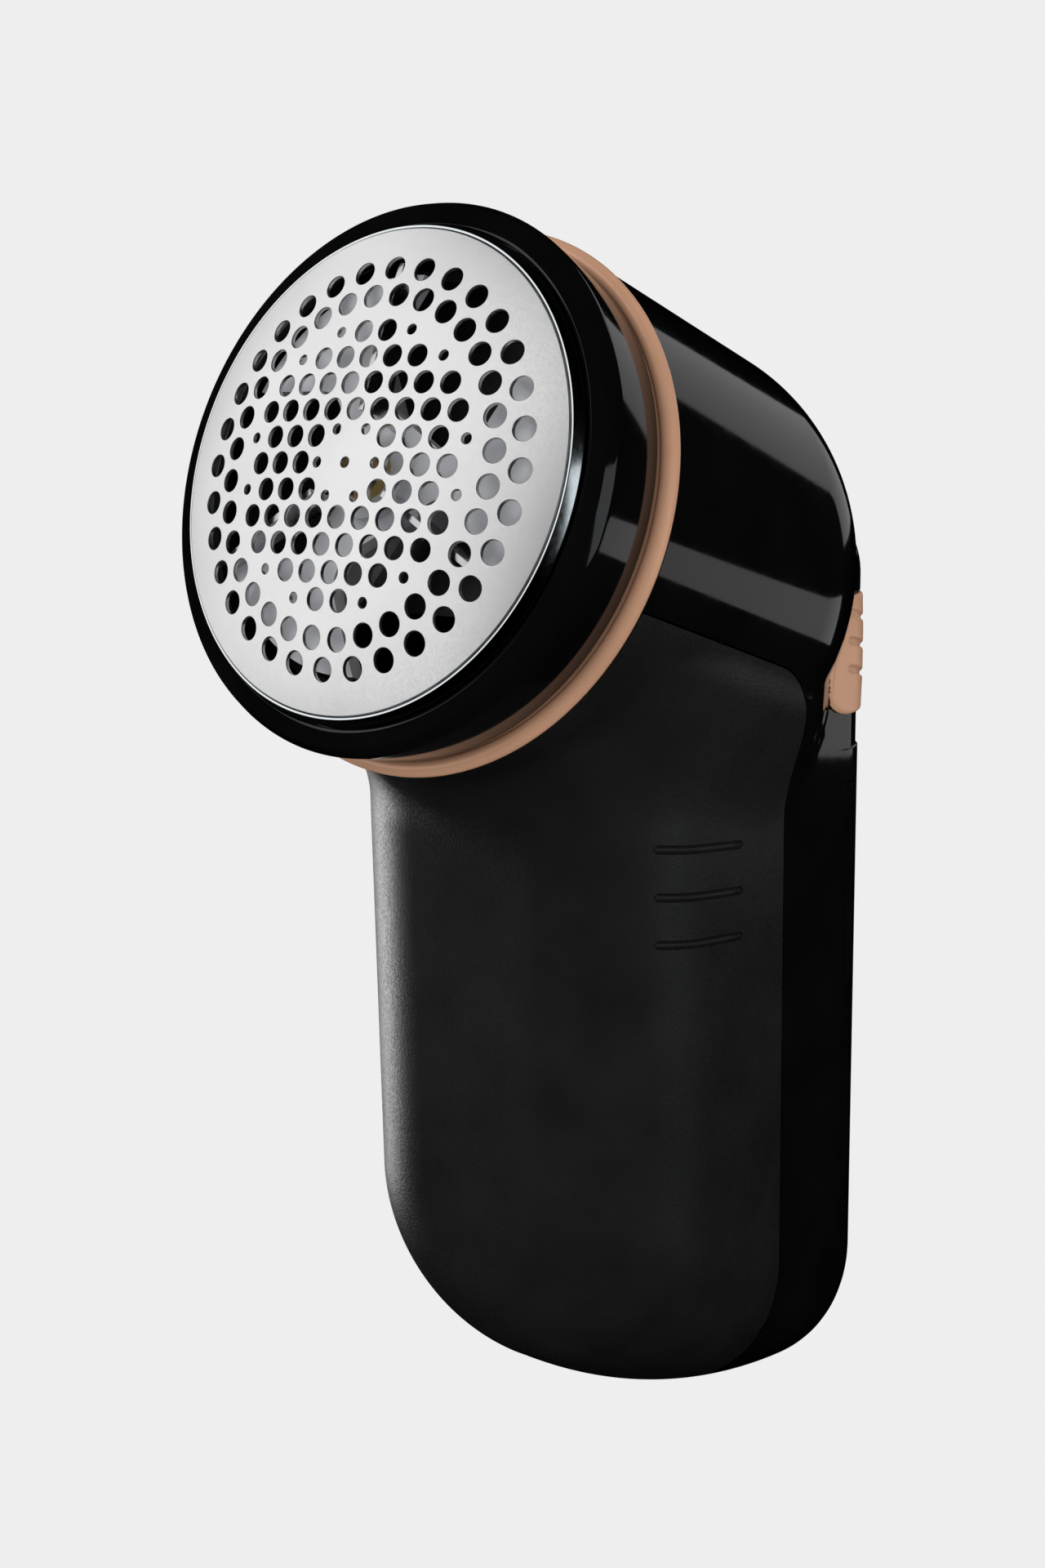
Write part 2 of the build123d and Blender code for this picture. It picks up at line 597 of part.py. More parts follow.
# ---------------------------------------------------------------- battery bay
BAY_HALF = 15.4
BAY_FRONT = PARTING_Y + PARTITION + 0.2
with BuildPart() as battery_cradle:
    with Locations((0, BAY_FRONT + 0.5, (BAY_FLOOR_Z + 78) / 2)):
        Box(2 * BAY_HALF, 1.0, 78 - BAY_FLOOR_Z)
    with Locations((0, BAY_FRONT + 8, BAY_ROOF_Z + 0.9 + CONTACT)):
        Box(2 * BAY_HALF, 16, 1.4)
    with Locations((0, BAY_FRONT + 7.5, BAY_FLOOR_Z - 0.7)):
        Box(2 * 14.0, 15, 1.4)
    with Locations((0, BAY_FRONT + 2.5, (BAY_FLOOR_Z + BAY_ROOF_Z) / 2)):
        Box(0.8, 4, BAY_ROOF_Z - BAY_FLOOR_Z + 1.2)
    # post that carries the switch
    with Locations((12.0, BUTTON_Y - 1.2, (BAY_ROOF_Z + 1.0 + SWITCH_BASE_Z) / 2)):
        Box(6.0, 6.0, SWITCH_BASE_Z - BAY_ROOF_Z - 1.0)
    with Locations(Plane(origin=(0, BAY_FRONT + 1.0, 75), x_dir=(1, 0, 0), z_dir=(0, 1, 0))):
        with Locations((-12, 0), (12, 0)):
            Hole(1.15, depth=2)
save(battery_cradle.part, "battery_cradle")

with BuildPart() as cradle_screws:
    for x in (-12, 12):
        with BuildSketch(Plane(origin=(x, BAY_FRONT + 1.0, 75), x_dir=(1, 0, 0), z_dir=(0, 1, 0))):
            Circle(2.0)
        extrude(amount=1.1)
        with BuildSketch(Plane(origin=(x, BAY_FRONT + 1.0, 75), x_dir=(1, 0, 0), z_dir=(0, 1, 0))):
            Circle(1.05)
        extrude(amount=-2.2)
save(cradle_screws.part, "cradle_screws")

with BuildPart() as contact_bridge:
    with Locations((0, CELL_Y, BAY_FLOOR_Z + CONTACT / 2)):
        Box(26, 9, CONTACT)
save(contact_bridge.part, "contact_bridge")

with BuildPart() as contact_plates:
    for x in (-CELL_X, CELL_X):
        with Locations((x, CELL_Y, BAY_ROOF_Z + CONTACT / 2 + 0.2)):
            Box(9, 9, CONTACT)
save(contact_plates.part, "contact_plates")

SPRING_HEIGHT = 3.2
for name, x, base in (("bridge_spring", CELL_X, BAY_FLOOR_Z + CONTACT + 0.4),
                      ("plate_spring", -CELL_X, BAY_ROOF_Z - SPRING_HEIGHT - 0.2)):
    with BuildPart() as contact_spring:
        coil = Helix(pitch=1.0, height=SPRING_HEIGHT, radius=3.2, center=(x, CELL_Y, base))
        with BuildSketch(Plane(origin=coil @ 0, z_dir=coil % 0)):
            Circle(0.32)
        sweep(path=coil, is_frenet=True)
    save(contact_spring.part, name)

for name, x, base, upright in (("cell_left", -CELL_X, BAY_FLOOR_Z + CONTACT + 0.05, -1),
                               ("cell_right", CELL_X, BAY_ROOF_Z + 0.15, 1)):
    # base is where the positive nub touches its contact; the can hangs from there
    with BuildPart() as cell:
        nub = Plane(origin=(x, CELL_Y, base), x_dir=(1, 0, 0), z_dir=(0, 0, -upright))
        with BuildSketch(nub):
            Circle(2.6)
        extrude(amount=CELL_NUB)
        with BuildSketch(nub.offset(CELL_NUB)):
            Circle(CELL_RADIUS)
        extrude(amount=CELL_LENGTH)
        fillet(cell.edges().filter_by(GeomType.CIRCLE).sort_by(SortBy.RADIUS)[-2:], 0.6)
    save(cell.part, name)

LEAD_RADIUS = 0.55
LEADS = {
    "lead_battery": ((CELL_X, CELL_Y, BAY_ROOF_Z + 2.4), (CELL_X, CELL_Y - 1.5, 75), (5.0, CELL_Y - 1.0, 82),
                     (4.2, SWITCH_Y, SWITCH_Z - 6.5), (6.2, SWITCH_Y, SWITCH_Z - 4.7)),
    "lead_motor": ((6.2, SWITCH_Y, SWITCH_Z + 0.4), (4.0, SWITCH_Y - 1.0, SWITCH_Z + 2.5),
                   (3.5, 21.5, 100.5), (6.5, 17.0, 104.5), (6.5, 14.2, 106.2)),
}
for name, route in LEADS.items():
    with BuildPart() as lead:
        with BuildLine() as path:
            FilletPolyline(*route, radius=1.4)
        with BuildSketch(Plane(origin=path.line @ 0, z_dir=path.line % 0)):
            Circle(LEAD_RADIUS)
        sweep(path=path.line)
    save(lead.part, name)
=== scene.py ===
"""Fabric shaver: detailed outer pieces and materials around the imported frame.

Shapes are worked out in millimetres, in the frame's own axes, and scaled to metres as each mesh is made.
"""
import json
from math import atan2, cos, hypot, pi, radians, sin, sqrt

import bpy
import numpy as np
from mathutils import Matrix, Vector
from mathutils.geometry import delaunay_2d_cdt


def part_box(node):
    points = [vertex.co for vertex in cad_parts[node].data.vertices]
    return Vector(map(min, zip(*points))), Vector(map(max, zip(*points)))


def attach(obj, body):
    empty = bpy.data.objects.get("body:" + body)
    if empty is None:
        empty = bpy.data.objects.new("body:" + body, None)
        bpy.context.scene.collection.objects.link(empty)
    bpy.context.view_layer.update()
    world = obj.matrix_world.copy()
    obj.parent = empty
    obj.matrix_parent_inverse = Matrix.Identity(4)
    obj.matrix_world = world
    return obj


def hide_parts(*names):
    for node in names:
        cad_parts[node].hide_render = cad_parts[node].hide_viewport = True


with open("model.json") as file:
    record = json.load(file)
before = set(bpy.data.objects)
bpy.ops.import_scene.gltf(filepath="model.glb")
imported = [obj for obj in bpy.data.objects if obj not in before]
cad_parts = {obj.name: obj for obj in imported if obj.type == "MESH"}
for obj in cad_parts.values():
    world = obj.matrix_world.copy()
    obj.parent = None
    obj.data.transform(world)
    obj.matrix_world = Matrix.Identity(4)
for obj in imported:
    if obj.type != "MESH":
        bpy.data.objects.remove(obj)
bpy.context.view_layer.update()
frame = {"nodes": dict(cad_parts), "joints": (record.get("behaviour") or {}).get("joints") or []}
MM = 0.001
FAR = 60                               # beyond the form on every side
UNDER = -10                            # below its foot

# ---------------------------------------------------------------- places read from the frame
joints = {joint["name"]: joint for joint in frame["joints"]}
HEAD = np.array(joints["rotor_spin"]["pos_m"]) / MM
AXIS = np.array(joints["rotor_spin"]["axis"])
ACROSS = np.array((1.0, 0.0, 0.0))
UP = np.cross(ACROSS, AXIS) * -1
SLOPE = AXIS[2] / -AXIS[1]             # rise per millimetre towards the front


def reach(node, side, index):
    """A CAD node's extent in millimetres: side 0 is the low corner, 1 the high one."""
    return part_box(node)[side][index] / MM


BACK_Y = reach("battery_door", 1, 1)
HALF_WIDTH = reach("battery_door", 1, 0)
DOOR_TOP = reach("battery_door", 1, 2)
DOOR_SIDE = reach("battery_door", 0, 1)
PARTING = reach("lint_container", 1, 1)
NECK_RADIUS = reach("main_housing", 1, 0)

# ---------------------------------------------------------------- driving dimensions, as the CAD has them
NECK_START = 12.6
NECK_END_ROUNDING = 21.5
FRONT_Y = -15.35
FRONT_CORNER = 14.0
BACK_CORNER = 7.1
TOE_RADIUS = 17.0
TOE_Z = 30.93
SOLE_RADIUS = 95.5
SOLE_JOIN = -8.6
SOLE_CENTRE = (49.1, 93.53)
SEAM = 0.2
WALL = 2.0
PARTITION = 1.4
PARTING_UP = -9.6
PARTING_CORNER = 12.0
SHOULDER_UP = 13.5                     # top of the handle inside the neck, across the head axis
SHOULDER_ROUNDING = 8.0
FILLET_SIDE = 1                        # between neck and handle, at the sides
FILLET_GAIN = 6                        # added below the neck
FILLET_UNDER = (6, 14)                 # how far below the head axis that begins and is complete
FILLET_END = (52, 66)                  # depths between which it fades away
MOUTH_RADIUS = 22.3
SPIGOT_RADIUS = 24.45
SPIGOT_FRONT = 5.0
SPIGOT_ROOT_RADIUS = 25.2
SPIGOT_ROOT = 11.0
SEAL_GROOVE = (7.4, 9.0)
SEAL_GROOVE_RADIUS = 24.0
FOIL_RADIUS = 24.0
FOIL_RISE = 2.99
FOIL_THICKNESS = 0.4
PITCH = 3.05
BUTTON_Z = 96.6
BUTTON_WIDTH = 19.0
BUTTON_HEIGHT = 14.0
BUTTON_TRAVEL = 4.0
BUTTON_PROUD = 0.3


# ---------------------------------------------------------------- the outer form as a smooth field
def rounded(a, b, radius):
    """Inside of both fields, with their outward corner rounded."""
    corner = np.hypot(np.maximum(a + radius, 0), np.maximum(b + radius, 0))
    return np.minimum(-radius, np.maximum(a, b)) + corner


def filleted(a, b, radius):
    """Inside of either field, with the inward corner between them filled."""
    corner = np.hypot(np.maximum(radius - a, 0), np.maximum(radius - b, 0))
    return np.maximum(radius, np.minimum(a, b)) - corner


def ease(value, start, end):
    share = np.clip((value - start) / (end - start), 0, 1)
    return share * share * (3 - 2 * share)


def sole(y):
    """Height of the handle's underside on its middle plane."""
    toe_y = FRONT_Y + TOE_RADIUS
    heel_y = BACK_Y - BACK_CORNER
    toe = TOE_Z - np.sqrt(np.maximum(TOE_RADIUS ** 2 - (toe_y - y) ** 2, 0))
    arc = SOLE_CENTRE[1] - np.sqrt(SOLE_RADIUS ** 2 - (SOLE_CENTRE[0] - y) ** 2)
    heel = BACK_CORNER - np.sqrt(np.maximum(BACK_CORNER ** 2 - np.maximum(y - heel_y, 0) ** 2, 0))
    return np.where(y < SOLE_JOIN, toe, arc + heel)


def width_at(y):
    """Half the handle's width, with its rounded front and back corners."""
    front = np.maximum(FRONT_Y + FRONT_CORNER - y, 0)
    back = np.maximum(y - BACK_Y + BACK_CORNER, 0)
    front_loss = FRONT_CORNER - np.sqrt(np.maximum(FRONT_CORNER ** 2 - front ** 2, 0))
    back_loss = BACK_CORNER - np.sqrt(np.maximum(BACK_CORNER ** 2 - back ** 2, 0))
    return HALF_WIDTH - front_loss - back_loss


def handle_field(x, y, z):
    held = np.clip(y, FRONT_Y, BACK_Y)
    drop = np.maximum(sole(held) + width_at(held) - z, 0)
    outward = np.hypot(x, drop)
    middle = (FRONT_Y + BACK_Y) / 2
    corner = np.where(y < middle, FRONT_CORNER, BACK_CORNER)
    across = outward - HALF_WIDTH + corner
    along = np.abs(y - middle) - (BACK_Y - FRONT_Y) / 2 + corner
    outside = np.hypot(np.maximum(across, 0), np.maximum(along, 0))
    return outside + np.minimum(np.maximum(across, along), 0) - corner


def head_frame(x, y, z):
    """Depth behind the head's centre, and height across its axis."""
    from_head = y - HEAD[1], z - HEAD[2]
    depth = -(from_head[0] * AXIS[1] + from_head[1] * AXIS[2])
    return depth, from_head[0] * UP[1] + from_head[1] * UP[2]


def outer_field(x, y, z):
    """Negative inside the shaver's outer form, and about the distance to it in millimetres."""
    depth, up = head_frame(x, y, z)
    flat = NECK_RADIUS - NECK_END_ROUNDING
    end = (BACK_Y - HEAD[1] - NECK_END_ROUNDING - flat * UP[1]) / UP[2]
    around = np.hypot(x, up) - flat
    behind = depth - end
    neck = np.hypot(np.maximum(around, 0), np.maximum(behind, 0)) - NECK_END_ROUNDING
    neck += np.minimum(np.maximum(around, behind), 0)
    handle = rounded(handle_field(x, y, z), up - SHOULDER_UP, SHOULDER_ROUNDING)
    under_neck = ease(-up, *FILLET_UNDER)
    fillet = FILLET_SIDE + FILLET_GAIN * under_neck * (1 - ease(depth, *FILLET_END))
    return filleted(neck, handle, fillet)


def gradient(field, points):
    step = 0.02
    columns = []
    for index in range(3):
        shift = np.zeros(3)
        shift[index] = step
        ahead, back = (points + shift).T, (points - shift).T
        columns.append((field(*ahead) - field(*back)) / (2 * step))
    return np.stack(columns, 1)


def settle(field, points, level, rounds=8):
    """Move points onto the field's level surface."""
    for _ in range(rounds):
        slope = gradient(field, points)
        size = np.maximum((slope ** 2).sum(1), 0.05)
        shift = (field(*points.T) - level) / size
        points = points - np.clip(shift, -0.4, 0.4)[:, None] * slope
    return points


def surface(field, level, low, high, step):
    """Quads over the field's level surface inside a box: one vertex in each grid cell that it crosses."""
    axes = [np.arange(low[i] - 0.37 * step, high[i] + 2 * step, step) for i in range(3)]
    grid = np.meshgrid(*axes, indexing="ij")
    values = field(*grid) - level
    inside = values < 0
    shape = [len(axis) - 1 for axis in axes]
    total, count = np.zeros(shape + [3]), np.zeros(shape)
    window = [slice(0, -1), slice(1, None)]
    for along in range(3):
        others = [i for i in range(3) if i != along]
        for a in range(2):
            for b in range(2):
                start, stop = [None] * 3, [None] * 3
                start[others[0]] = stop[others[0]] = window[a]
                start[others[1]] = stop[others[1]] = window[b]
                start[along], stop[along] = window[0], window[1]
                near, far = values[tuple(start)], values[tuple(stop)]
                crossed = (near < 0) != (far < 0)
                share = np.where(crossed, near / np.where(crossed, near - far, 1), 0)
                for i in range(3):
                    base = grid[i][tuple(start)]
                    total[..., i] += np.where(crossed, base + (share * step if i == along else 0), 0)
                count += crossed
    active = count > 0
    number = np.full(shape, -1)
    number[active] = np.arange(active.sum())
    points = total[active] / count[active][:, None]
    quads = []
    for along in range(3):
        b, c = (along + 1) % 3, (along + 2) % 3
        first = np.take(inside, range(inside.shape[along] - 1), axis=along)
        second = np.take(inside, range(1, inside.shape[along]), axis=along)
        cells = np.argwhere(first != second)
        cells = cells[(cells[:, b] > 0) & (cells[:, c] > 0)]
        cells = cells[(cells[:, b] < shape[b]) & (cells[:, c] < shape[c])]
        outward = first[tuple(cells.T)]
        corners = []
        for shift_b, shift_c in ((1, 1), (0, 1), (0, 0), (1, 0)):
            at = cells.copy()
            at[:, b] -= shift_b
            at[:, c] -= shift_c
            corners.append(number[tuple(at.T)])
        quad = np.stack(corners, 1)
        quad[~outward] = quad[~outward][:, ::-1]
        quads.append(quad)
    return settle(field, points, level), np.concatenate(quads)


# ---------------------------------------------------------------- meshes
def new_object(name, points, faces):
    mesh = bpy.data.meshes.new(name)
    corners = [tuple(p) for p in np.asarray(points) * MM]
    mesh.from_pydata(corners, [], [tuple(int(i) for i in f) for f in faces])
    mesh.validate()
    obj = bpy.data.objects.new(name, mesh)
    bpy.context.scene.collection.objects.link(obj)
    return obj


def prism(outline, low, high, direction, across, origin=(0, 0, 0)):
    """Closed prism over an outline of (a, b) points: a along across, b along direction x across."""
    direction, across = np.array(direction, float), np.array(across, float)
    side = np.cross(direction, across)
    base = [np.array(origin) + a * across + b * side for a, b in outline]
    count = len(outline)
    points = [p + direction * low for p in base] + [p + direction * high for p in base]
    faces = [tuple(reversed(range(count))), tuple(range(count, 2 * count))]
    faces += [(i, (i + 1) % count, count + (i + 1) % count, count + i) for i in range(count)]
    return new_object("cutter", points, faces)


def turned(name, profile, segments=192):
    """Closed ring turned about the head axis from a closed outline of (radius, height) points."""
    points, faces = [], []
    rows = len(profile)
    for i in range(segments):
        turn = 2 * pi * i / segments
        spoke = ACROSS * cos(turn) + UP * sin(turn)
        points += [HEAD + spoke * radius + AXIS * height for radius, height in profile]
    for i in range(segments):
        for j in range(rows):
            a, b = i * rows, ((i + 1) % segments) * rows
            k = (j + 1) % rows
            faces.append((a + j, b + j, b + k, a + k))
    return new_object(name, points, faces)


def fix_normals(obj):
    """Point all faces outwards."""
    bpy.context.view_layer.objects.active = obj
    obj.select_set(True)
    bpy.ops.object.mode_set(mode="EDIT")
    bpy.ops.mesh.select_all(action="SELECT")
    bpy.ops.mesh.normals_make_consistent(inside=False)
    bpy.ops.object.mode_set(mode="OBJECT")
    obj.select_set(False)
    return obj


def cut(obj, operation, tool, keep=False):
    """Boolean with a tool, which is then removed unless it is kept."""
    modifier = obj.modifiers.new("cut", "BOOLEAN")
    modifier.operation = operation
    modifier.solver = "MANIFOLD"
    modifier.object = tool
    bpy.context.view_layer.objects.active = obj
    bpy.ops.object.modifier_apply(modifier=modifier.name)
    if not keep:
        bpy.data.objects.remove(tool)
    return obj


def copy_of(obj, name):
    twin = obj.copy()
    twin.data = obj.data.copy()
    twin.name = name
    bpy.context.scene.collection.objects.link(twin)
    return twin


def polish(obj, field, levels, sharp=32):
    """Smooth shading, with the field's own normals wherever the mesh lies on one of its level surfaces."""
    mesh = obj.data
    mesh.polygons.foreach_set("use_smooth", np.ones(len(mesh.polygons), bool))
    mesh.set_sharp_from_angle(angle=radians(sharp))
    corners = np.zeros(len(mesh.loops) * 3)
    mesh.corner_normals.foreach_get("vector", corners)
    corners = corners.reshape(-1, 3)
    points = np.zeros(len(mesh.vertices) * 3)
    mesh.vertices.foreach_get("co", points)
    points = points.reshape(-1, 3) / MM
    vertex = np.zeros(len(mesh.loops), int)
    mesh.loops.foreach_get("vertex_index", vertex)
    slope = gradient(field, points)
    slope /= np.linalg.norm(slope, axis=1)[:, None]
    value = field(*points.T)
    faces = np.zeros(len(mesh.polygons) * 3)
    mesh.polygons.foreach_get("normal", faces)
    totals = np.zeros(len(mesh.polygons), int)
    mesh.polygons.foreach_get("loop_total", totals)
    flat = np.repeat(faces.reshape(-1, 3), totals, axis=0)
    for level in levels:
        near = np.abs(value - level)[vertex] < 0.02
        facing = (flat * slope[vertex]).sum(1)
        take = near & (np.abs(facing) > 0.8)
        corners[take] = slope[vertex][take] * np.sign(facing[take])[:, None]
    mesh.normals_split_custom_set([tuple(c) for c in corners])
    return obj


def smooth(obj, sharp=40):
    obj.data.polygons.foreach_set("use_smooth", np.ones(len(obj.data.polygons), bool))
    obj.data.set_sharp_from_angle(angle=radians(sharp))
    return obj


def arc(centre, radius, start, end, steps):
    """Points along an arc, in degrees."""
    turns = [radians(start + (end - start) * i / steps) for i in range(steps + 1)]
    return [(centre[0] + radius * cos(turn), centre[1] + radius * sin(turn)) for turn in turns]


def rounded_outline(points, radii, steps=6):
    """Closed outline with each corner replaced by an arc of its radius."""
    result = []
    count = len(points)
    for i, radius in enumerate(radii):
        corner = np.array(points[i], float)
        before = np.array(points[i - 1], float) - corner
        after = np.array(points[(i + 1) % count], float) - corner
        before /= np.linalg.norm(before)
        after /= np.linalg.norm(after)
        half = np.arccos(np.clip(before @ after, -1, 1)) / 2
        if radius <= 0:
            result.append(tuple(corner))
            continue
        centre = corner + (before + after) / np.linalg.norm(before + after) * radius / sin(half)
        first = corner + before * radius / np.tan(half) - centre
        last = corner + after * radius / np.tan(half) - centre
        angle = atan2(first[1], first[0])
        sweep = (atan2(last[1], last[0]) - angle + pi) % (2 * pi) - pi
        for k in range(steps + 1):
            turn = angle + sweep * k / steps
            result.append((centre[0] + radius * cos(turn), centre[1] + radius * sin(turn)))
    return result


# ---------------------------------------------------------------- regions of the split outer form
SIDE_REACH = 40.0


def side_prism(outline):
    """Prism across the whole width over an outline of (Y, Z) points."""
    return prism(outline, -SIDE_REACH, SIDE_REACH, (1, 0, 0), (0, 1, 0))


def below_parting(back_y, up, start):
    """Everything in front of and below the parting line."""
    start_y = HEAD[1] - AXIS[1] * start + UP[1] * up
    start_z = HEAD[2] - AXIS[2] * start + UP[2] * up
    low_y = HEAD[1] - AXIS[1] * start - UP[1] * FAR
    low_z = HEAD[2] - AXIS[2] * start - UP[2] * FAR
    corner_z = start_z - (back_y - start_y) * SLOPE
    outline = [(start_y, start_z), (low_y, low_z), (low_y, UNDER), (back_y, UNDER), (back_y, corner_z)]
    return fix_normals(side_prism(rounded_outline(outline, (0, 0, 0, 0, PARTING_CORNER), 24)))


def in_front_of(depth):
    """Block in front of a plane across the head axis."""
    square = [(-FAR, -FAR), (FAR, -FAR), (FAR, FAR), (-FAR, FAR)]
    return fix_normals(prism(square, -depth, -depth + FAR, AXIS, ACROSS, HEAD))


LOW, HIGH = (-31, -36, -2), (31, 39, 154)
GRID = 0.8
OUTER_FRONT = NECK_START - 6           # both forms run a little past the neck's front, and are cut there
INNER_FRONT = NECK_START - 3
PARTING_FRONT = NECK_START - 10
HOLLOW_FRONT = -20


def outer_solid(x, y, z):
    return np.maximum(outer_field(x, y, z), OUTER_FRONT - head_frame(x, y, z)[0])


def inner_solid(x, y, z):
    return np.maximum(outer_field(x, y, z) + WALL, INNER_FRONT - head_frame(x, y, z)[0])


outer = fix_normals(new_object("outer", *surface(outer_solid, 0, LOW, HIGH, GRID)))
inner = fix_normals(new_object("inner", *surface(inner_solid, 0, LOW, HIGH, GRID)))

# ---------------------------------------------------------------- main housing
def door_region(side, top):
    """The door's part of the handle, behind a Y and below a Z."""
    return fix_normals(side_prism([(side, UNDER), (FAR, UNDER), (FAR, top), (side, top)]))


housing = copy_of(outer, "housing_shell")
cut(housing, "DIFFERENCE", in_front_of(NECK_START))
cut(housing, "DIFFERENCE", below_parting(PARTING + SEAM, PARTING_UP, PARTING_FRONT))
cut(housing, "DIFFERENCE", door_region(DOOR_SIDE - SEAM, DOOR_TOP + SEAM))
hollow = copy_of(inner, "hollow")
bay_front = PARTING + SEAM + PARTITION
cut(hollow, "DIFFERENCE", below_parting(bay_front, PARTING_UP + PARTITION, HOLLOW_FRONT))
cut(hollow, "DIFFERENCE", in_front_of(NECK_START + WALL))
cut(housing, "DIFFERENCE", hollow)
SPIGOT_INNER = 22                      # a little inside the mouth, which is cut afterwards
SPIGOT_OVERLAP = 0.3
NEAR_AXIS = 0.02
spigot_profile = [
    (SPIGOT_INNER, -SPIGOT_FRONT), (SPIGOT_RADIUS, -SPIGOT_FRONT), (SPIGOT_RADIUS, -SEAL_GROOVE[0]),
    (SEAL_GROOVE_RADIUS, -SEAL_GROOVE[0]), (SEAL_GROOVE_RADIUS, -SEAL_GROOVE[1]),
    (SPIGOT_RADIUS, -SEAL_GROOVE[1]), (SPIGOT_RADIUS, -SPIGOT_ROOT), (SPIGOT_ROOT_RADIUS, -SPIGOT_ROOT),
    (SPIGOT_ROOT_RADIUS, -NECK_START - SPIGOT_OVERLAP), (SPIGOT_INNER, -NECK_START - SPIGOT_OVERLAP)]
cut(housing, "UNION", fix_normals(turned("spigot", spigot_profile)))
MOUTH = (-4, -NECK_START - 9)
mouth_profile = [(NEAR_AXIS, MOUTH[0]), (MOUTH_RADIUS, MOUTH[0]), (MOUTH_RADIUS, MOUTH[1]),
                 (NEAR_AXIS, MOUTH[1])]
cut(housing, "DIFFERENCE", fix_normals(turned("mouth", mouth_profile)))
polish(housing, outer_field, (0, -WALL))

# ---------------------------------------------------------------- lint container
container = copy_of(outer, "container_shell")
cut(container, "DIFFERENCE", in_front_of(NECK_START + SEAM))
cut(container, "INTERSECT", below_parting(PARTING, PARTING_UP - SEAM, PARTING_FRONT))
space = copy_of(inner, "space")
space_up = PARTING_UP - SEAM - PARTITION
cut(space, "INTERSECT", below_parting(PARTING - PARTITION, space_up, PARTING_FRONT))
cut(container, "DIFFERENCE", space)


def groove(start, end, radius, depth=0.0):
    """Slot cutter along the outer form between two points, with tapered round ends."""
    steps, sides = 26, 14
    line = np.linspace(start, end, steps)
    line = settle(outer_field, line, -depth)
    points, faces = [], []
    length = np.linalg.norm(np.array(end) - np.array(start))
    for i, spot in enumerate(line):
        away = min(i, steps - 1 - i) / (steps - 1) * length
        share = min(away / radius, 1.0)
        size = radius * sqrt(max(1 - (1 - share) ** 2, 0.01))
        ahead = line[min(i + 1, steps - 1)] - line[max(i - 1, 0)]
        ahead /= np.linalg.norm(ahead)
        outward = gradient(outer_field, spot[None])[0]
        outward /= np.linalg.norm(outward)
        sideways = np.cross(ahead, outward)
        for j in range(sides):
            turn = 2 * pi * j / sides
            points.append(spot + (outward * cos(turn) + sideways * sin(turn)) * size)
    for i in range(steps - 1):
        for j in range(sides):
            k = (j + 1) % sides
            faces.append((i * sides + j, (i + 1) * sides + j, (i + 1) * sides + k, i * sides + k))
    faces.append(tuple(range(sides)))
    faces.append(tuple(reversed(range((steps - 1) * sides, steps * sides))))
    return fix_normals(new_object("groove", points, faces))


GRIP_START, GRIP_END = (19.5, -8.8, 80.9), (21.8, 5.4, 78.8)
GRIP_PITCH = 5.15
for side in (-1, 1):
    for row in range(3):
        drop = np.array((0, 0, GRIP_PITCH * row))
        ends = [(np.array(spot) * (side, 1, 1)) - drop for spot in (GRIP_START, GRIP_END)]
        cut(container, "DIFFERENCE", groove(ends[0], ends[1], 0.5, 0.05))
polish(container, outer_field, (0, -WALL))

# ---------------------------------------------------------------- battery door
door = copy_of(outer, "door_shell")
cut(door, "INTERSECT", door_region(DOOR_SIDE, DOOR_TOP))
cut(door, "DIFFERENCE", inner, keep=True)
polish(door, outer_field, (0, -WALL))

# ---------------------------------------------------------------- slide button, on the rear right corner
CORNER = np.array((HALF_WIDTH - BACK_CORNER, BACK_Y - BACK_CORNER, BUTTON_Z))
FACING = np.array((1, 1, 0)) / sqrt(2)
ALONG = np.array((-1, 1, 0)) / sqrt(2)


def button_plane(x, y, z):
    """Place on the button as seen from the corner it sits on: sideways, upwards and outwards."""
    shifted = x - CORNER[0], y - CORNER[1], z - CORNER[2]
    sideways = shifted[0] * ALONG[0] + shifted[1] * ALONG[1]
    return sideways, shifted[2], shifted[0] * FACING[0] + shifted[1] * FACING[1]


def plate_field(sideways, upward, spare, corner):
    """Rounded oblong, larger than the button all round by the spare distance."""
    a = np.abs(sideways) - BUTTON_WIDTH / 2 - spare + corner
    b = np.abs(upward) - BUTTON_HEIGHT / 2 - spare + corner
    return np.hypot(np.maximum(a, 0), np.maximum(b, 0)) + np.minimum(np.maximum(a, b), 0) - corner


GROOVE_RISE = 3.3
GROOVE_HALF = 5.8
GROOVE_SLANT = 0.3
GROOVE_RADIUS = 0.45
GROOVE_LIFT = 0.2                      # of a groove's centre above the button's face
BUTTON_CORNER = 4.4
BUTTON_EDGE = 0.45
BUTTON_UNDER = 0.12                    # how far the button reaches into its pocket
BUTTON_GRID = 0.22
POCKET = 0.25                          # depth of the pocket that the button slides in


def button_field(x, y, z):
    sideways, upward, outward = button_plane(x, y, z)
    skin = outer_field(x, y, z)
    edge = plate_field(sideways, upward, 0, BUTTON_CORNER)
    crown = 0.12 * ease(-edge, 0, 5)
    top = rounded(skin - BUTTON_PROUD - crown, edge, BUTTON_EDGE)
    for row in (-1, 0, 1):
        offset = upward - row * GROOVE_RISE
        beside = np.maximum(np.abs(sideways) - GROOVE_HALF, 0)
        line = np.hypot(offset + sideways * GROOVE_SLANT, beside) / sqrt(1 + GROOVE_SLANT ** 2)
        channel = np.hypot(line, skin - BUTTON_PROUD - GROOVE_LIFT) - GROOVE_RADIUS
        top = rounded(top, -channel, 0.12)
    return np.maximum(top, -(skin + BUTTON_UNDER))


